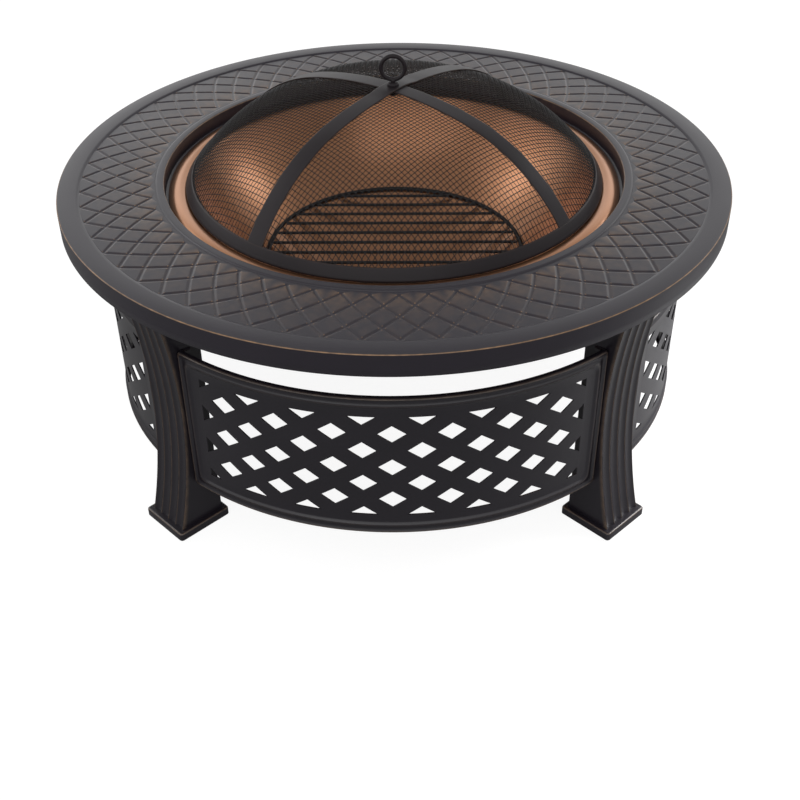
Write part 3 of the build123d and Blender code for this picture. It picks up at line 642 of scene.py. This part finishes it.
def wovenWires(s, family):
    # Straight lines in plan, one pitch apart, lifted on the dome; each bends over and under at every crossing
    half = int(s["reach"] / s["pitch"])
    index, crossing = np.arange(-half, half + 1)[:, None], np.arange(-half - 1, half + 2)
    offset = index * s["pitch"]
    limit = np.sqrt(s["reach"] ** 2 - offset ** 2)
    along = np.clip(crossing * s["pitch"], -limit, limit)
    across = np.broadcast_to(offset, along.shape)
    swap = np.radians(s["turn"] + 90 * family)
    x = along * np.cos(swap) - across * np.sin(swap)
    y = along * np.sin(swap) + across * np.cos(swap)
    radius = np.hypot(x, y)
    angle = domeAngle(radius)
    parity = (index + crossing) % 2 * 2 - 1
    lift = dome["mesh"] / 2 + s["crimp"] * parity * (1 if family else -1)
    planar = np.stack([x, y], -1) / np.maximum(radius, 1e-9)[..., None]  # no direction on the axis itself
    normal = np.concatenate([planar * np.sin(angle)[..., None], np.cos(angle)[..., None]], -1)
    reach, height = domePoint(angle, lift)
    centre = np.concatenate([planar * reach[..., None], height[..., None]], -1)
    side = np.stack([-np.sin(swap) * np.ones_like(x), np.cos(swap) * np.ones_like(x), np.zeros_like(x)], -1)
    side -= normal * np.sum(side * normal, -1, keepdims=True)
    side /= np.linalg.norm(side, axis=-1, keepdims=True)
    corner = (np.pi / 2 * np.arange(4))[:, None]  # a wire this thin has four sides
    spoke = np.cos(corner) * side[:, :, None] + np.sin(corner) * normal[:, :, None]
    points = (centre[:, :, None] + s["wire"] * spoke).reshape(-1, 3)
    number = np.arange(along.size * 4).reshape(*along.shape, 4)
    ahead = np.roll(number, -1, 2)
    quads = np.stack([number[:, :-1], ahead[:, :-1], ahead[:, 1:], number[:, 1:]], -1)
    real = np.diff(along, axis=1) > 1e-6  # runs past the dome's rim have no length
    first = real & ~np.pad(real, ((0, 0), (1, 0)))[:, :-1]
    last = real & ~np.pad(real, ((0, 0), (0, 1)))[:, 1:]
    caps = [number[:, :-1][first][:, ::-1], number[:, 1:][last]]
    used, faces = np.unique(np.concatenate([quads[real].reshape(-1, 4)] + caps), return_inverse=True)
    return points[used], [faces.reshape(-1, 4)], np.zeros(len(used))


wires = [wovenWires(weave, 0), wovenWires(weave, 1)]
addPiece("screenWeave", wires, "screen", "screen_mesh_black", ["screen_mesh"], sharp=180)


rim = dict(hemSteps=8, hemGap=0.008, beadGap=0.25, beadSteps=12, crestGap=0.003, crestIn=0.4, crestSteps=3,
           steps=200, wear=0.7, wearSteps=0.7)  # gaps in radians


def screenRim(s):
    # Hem section in dome coordinates: outer leaf down to the rolled bead, round it, and up the inner leaf
    outerLift, innerLift = strapLow + dome["hemSheet"], -dome["gap"] - dome["hemSheet"]
    angles = np.linspace(hemAngle, rimAngle - s["hemGap"], s["hemSteps"])
    outer = np.stack(domePoint(angles, outerLift), 1)
    inner = np.stack(domePoint(angles[::-1], innerLift), 1)
    bead = np.stack(domePoint(rimAngle, dome["mesh"] / 2))
    sweep = np.linspace(rimAngle + s["beadGap"], rimAngle + np.pi - s["beadGap"], s["beadSteps"])
    roll = bead + dome["beadRadius"] * np.stack([np.sin(sweep), np.cos(sweep)], 1)
    crestLift = np.linspace(innerLift + s["crestIn"], outerLift - s["crestIn"], s["crestSteps"])
    crest = np.stack(domePoint(np.full(s["crestSteps"], hemAngle - s["crestGap"]), crestLift), 1)
    profile = np.concatenate([outer, roll, inner, crest])
    wearAndGlint = np.zeros(len(profile))
    wearAndGlint[:s["hemSteps"]] = s["wear"] * bump(np.arange(s["hemSteps"]), s["wearSteps"])
    return lathe(profile, s["steps"], wearAndGlint)


addPiece("screenRim", [screenRim(rim)], "screen", "screen_black", ["screen_rim"])


strap = dict(width=22.0, sheet=1.5, turn=7.0, joggle=12.0, endGap=0.001, steps=97, edgeSteps=6, flatIn=2,
             flatSteps=7, wear=0.6, wearIn=0.4, wearWide=0.8)


def domeStrap(s, turn, raised):
    # Flat bar section with rounded edges carried over the dome; the raised one steps up beside the crossing
    angle = np.linspace(-hemAngle + s["endGap"], hemAngle - s["endGap"], s["steps"])
    flat, joggle = (s["width"] / np.sqrt(2) + dome["gap"]) / dome["crownRadius"], s["joggle"] / dome["crownRadius"]
    ramp = np.clip((flat + joggle - np.abs(angle)) / joggle, 0, 1)
    rise = (s["sheet"] + dome["gap"]) * ramp ** 2 * (3 - 2 * ramp) if raised else np.zeros_like(angle)
    edge = np.linspace(-np.pi / 2, np.pi / 2, s["edgeSteps"])
    width, sheet = s["width"] / 2, s["sheet"] / 2
    flatEnd = width - s["flatIn"]
    right = np.stack([width - sheet + sheet * np.cos(edge), sheet + sheet * np.sin(edge)], 1)
    top = line((flatEnd, 2 * sheet), (-flatEnd, 2 * sheet), s["flatSteps"])
    under = line((-flatEnd, 0), (flatEnd, 0), s["flatSteps"])
    section = np.concatenate([right, top, (right * [-1, 1])[::-1], under])
    across = section[:, 0]
    sag = across ** 2 / (2 * np.where(np.abs(angle) < crownAngle, dome["crownRadius"], shoulderRadius))[:, None]
    lift = strapLow + rise[:, None] + section[:, 1] - sag
    reach, height = domePoint(angle[:, None], lift)
    points = np.stack(np.broadcast_arrays(reach, across, height), -1).reshape(-1, 3)
    rows, count = len(angle), len(section)
    faces = [gridFaces(rows, count, False, True)] + endCaps(rows, count)
    wearAndGlint = np.tile(s["wear"] * bump(np.abs(across) - width + s["wearIn"], s["wearWide"]), rows)
    return turnAbout((points, faces, wearAndGlint), turn)


addPiece("strapLower", [domeStrap(strap, strap["turn"] - 45, False)], "screen", "screen_black", ["strap_lower"])
addPiece("strapUpper", [domeStrap(strap, strap["turn"] + 45, True)], "screen", "screen_black", ["strap_upper"])


handle = dict(loop=14.1, wire=2.6, loopSteps=64, wireSteps=14, neck=3.0, shank=2.9, shankDrop=13.0, shankEnd=0.4,
              weldOut=(0.0, 0.5, 0.4, -1.0), weldUp=(-3.0, -1.6, 0.0, 1.6), weldTop=2.0, shankSteps=24,
              collarBottom=crownLevel + 4.7, collar=4.0, collarRadius=7.0, collarRound=2.6, collarEdge=0.3,
              boreGap=0.15, roundSteps=8, collarSteps=32)


def handleLoop(s):  # ring of round wire facing the front, on a shank that swells where it is welded
    level = s["collarBottom"] + s["collar"] + s["neck"] + s["loop"]
    around, section = s["loopSteps"], s["wireSteps"]
    a = np.linspace(0, 2 * np.pi, around, endpoint=False)[:, None]
    b = np.linspace(0, 2 * np.pi, section, endpoint=False)
    across = s["loop"] + s["wire"] * np.cos(b)
    points = np.broadcast_arrays(across * np.sin(a), s["wire"] * np.sin(b), level + across * np.cos(a))
    faces = [gridFaces(around, section, True, True)]
    ring = np.stack(points, -1).reshape(-1, 3), faces, np.zeros(around * section)
    low, top, radius, end = s["collarBottom"] - s["shankDrop"], level - s["loop"], s["shank"], s["shankEnd"]
    weld = np.stack([radius + np.array(s["weldOut"]), top + np.array(s["weldUp"])], 1)
    shank = np.concatenate([[(0, low), (radius - end, low), (radius, low + end)], weld, [(0, top + s["weldTop"])]])
    return [ring, latheCapped(shank, s["shankSteps"])]


def collarCap(s):  # low domed collar on the crossing of the straps: a section turned about Z
    turn = np.linspace(0, np.pi / 2, s["roundSteps"])
    bore, base, top = s["shank"] + s["boreGap"], s["collarBottom"], s["collarBottom"] + s["collar"]
    outer, turned, edge = s["collarRadius"], s["collarRound"], s["collarEdge"]
    over = np.stack([outer - turned + turned * np.cos(turn), top - turned + turned * np.sin(turn)], 1)
    profile = np.concatenate([[(bore, base), (outer - edge, base), (outer, base + edge)], over, [(bore, top)]])
    return lathe(profile, s["collarSteps"])


addPiece("handleRing", handleLoop(handle), "screen", "screen_black", ["handle_ring"])
addPiece("handleCollar", [collarCap(handle)], "screen", "screen_black", ["handle_collar"])


studio = dict(white="#ffffff", wall=0.45, ceiling=0.62, dim=0.52, floorRadius=9.0, floorSteps=64,
              floorLevel=-0.0004, floorGrey="#737373", floorGlow=0.9, floorMirrored=0.09)


def skyLight(s):  # white low down, dimmer overhead
    world = bpy.data.worlds.new("whiteStudio")
    world.use_nodes = True
    tree = world.node_tree
    tree.nodes.clear()
    direction = addNode(tree, "ShaderNodeTexCoord").outputs["Generated"]
    height = addNode(tree, "ShaderNodeSeparateXYZ", {}, {0: direction})
    power = addNode(tree, "ShaderNodeMapRange",
                    {"From Min": s["wall"], "From Max": s["ceiling"], "To Min": 1.0, "To Max": s["dim"]},
                    {"Value": height.outputs["Z"]})
    sky = addNode(tree, "ShaderNodeBackground", {"Color": hexColour(s["white"])}, {"Strength": power.outputs[0]})
    addNode(tree, "ShaderNodeOutputWorld", {}, {"Surface": sky.outputs[0]})
    bpy.context.scene.world = world


# Matte paint on a flat disc: it keeps the soft shadow and glows white for the camera, fainter in mirrors and glass
def paleFloor(s):
    angle = np.arange(s["floorSteps"]) * 2 * np.pi / s["floorSteps"]
    points = np.stack([s["floorRadius"] * np.cos(angle), s["floorRadius"] * np.sin(angle),
                       np.full(s["floorSteps"], s["floorLevel"])], 1)
    mesh = bpy.data.meshes.new("floor")
    mesh.from_pydata(points.tolist(), [], [list(range(s["floorSteps"]))])
    floor = bpy.data.objects.new("floor", mesh)
    bpy.context.scene.collection.objects.link(floor)
    material, tree = newTree("matteFloor")
    path = addNode(tree, "ShaderNodeLightPath").outputs
    mirrored = addNode(tree, "ShaderNodeMath", {}, {0: path["Is Glossy Ray"], 1: path["Is Transmission Ray"]},
                       operation="MAXIMUM")
    inMirrors = addNode(tree, "ShaderNodeMath", {1: s["floorMirrored"]}, {0: mirrored.outputs[0]},
                        operation="MULTIPLY")
    power = addNode(tree, "ShaderNodeMath", {1: s["floorGlow"]},
                    {0: path["Is Camera Ray"], 2: inMirrors.outputs[0]}, operation="MULTIPLY_ADD")
    glow = addNode(tree, "ShaderNodeEmission", {"Color": hexColour(s["white"])}, {"Strength": power.outputs[0]})
    diffuse = addNode(tree, "ShaderNodeBsdfDiffuse", {"Color": hexColour(s["floorGrey"])})
    both = addNode(tree, "ShaderNodeAddShader", {}, {0: diffuse.outputs[0], 1: glow.outputs[0]})
    addNode(tree, "ShaderNodeOutputMaterial", {}, {"Surface": both.outputs[0]})
    mesh.materials.append(material)


skyLight(studio)
paleFloor(studio)


def matrixOf(x, y, z, place):  # axes and place as the columns of a world matrix
    rows = np.eye(4)
    rows[:3] = np.stack([x, y, z, place], 1)
    return Matrix(rows.tolist())


lamps = dict(  # place, aim, width and height in metres, power in watts
    frontBox=((-0.4, -2.2, 2.2), (0, 0, 0.3), 3.4, 2.6, 26.0),
    leftBox=((-1.5, 0.62, 1.45), (0, 0, 0.3), 0.5, 0.5, 2.2),
    leftWall=((-1.9, 0.3, 1.45), (0, 0, 0.3), 1.6, 2.0, 8.0),
    rightBox=((1.5, 0.95, 1.2), (0, 0, 0.3), 0.5, 0.5, 2.8),
    rightPool=((0.68, -0.12, 0.3), (0.64, -0.14, 0), 0.36, 0.36, 4.5),  # low, lights the floor by the right leg
    backLeft=((-1.25, 2.5, 1.35), (0, 0, 0.3), 1.3, 1.3, 2.7),
    backRight=((1.25, 2.5, 1.35), (0, 0, 0.3), 1.3, 1.3, 2.4),
    backStrip=((0.0, 2.6, 0.75), (0, 0, 0.35), 4.0, 0.8, 4.5),
)


def softLamp(name, place, aim, width, height, power):  # soft box turned towards a point
    lamp = bpy.data.lights.new(name, "AREA")
    lamp.shape = "RECTANGLE"
    lamp.size, lamp.size_y = width, height
    lamp.energy = power
    holder = bpy.data.objects.new(name, lamp)
    holder.location = place
    z = np.array(place, float) - np.array(aim, float)
    z /= np.linalg.norm(z)
    x = np.cross([0, 1, 0.01], z)  # a little off Y, so that no lamp is left without a direction
    x /= np.linalg.norm(x)
    holder.rotation_euler = matrixOf(x, np.cross(z, x), z, place).to_euler()
    bpy.context.scene.collection.objects.link(holder)


for name, settings in lamps.items():
    softLamp(name, *settings)


view = dict(place=(0.0217, -1.34302, 1.0076), pitch=0.65265, yaw=-0.01289, roll=-0.01024, focal=1194.46, frame=800,
            sensor=36.0)  # angles in radians, focal length and frame in pixels


def photoCamera(s):  # looks ahead by yaw and pitch, then rolls about that line
    level = np.cos(s["pitch"])
    ahead = np.array([np.sin(s["yaw"]) * level, np.cos(s["yaw"]) * level, -np.sin(s["pitch"])])
    right = np.cross(ahead, [0, 0, 1])
    right /= np.linalg.norm(right)
    up = np.cross(right, ahead)
    c, t = np.cos(s["roll"]), np.sin(s["roll"])
    camera = bpy.data.cameras.new("photoView")
    camera.sensor_width = s["sensor"]
    camera.sensor_fit = "HORIZONTAL"
    camera.lens = s["focal"] / s["frame"] * s["sensor"]
    holder = bpy.data.objects.new("photoView", camera)
    holder.matrix_world = matrixOf(c * right + t * up, c * up - t * right, -ahead, s["place"])
    bpy.context.scene.collection.objects.link(holder)
    bpy.context.scene.camera = holder


photoCamera(view)
bpy.context.scene.view_settings.view_transform = "Standard"
print("studio and camera set")
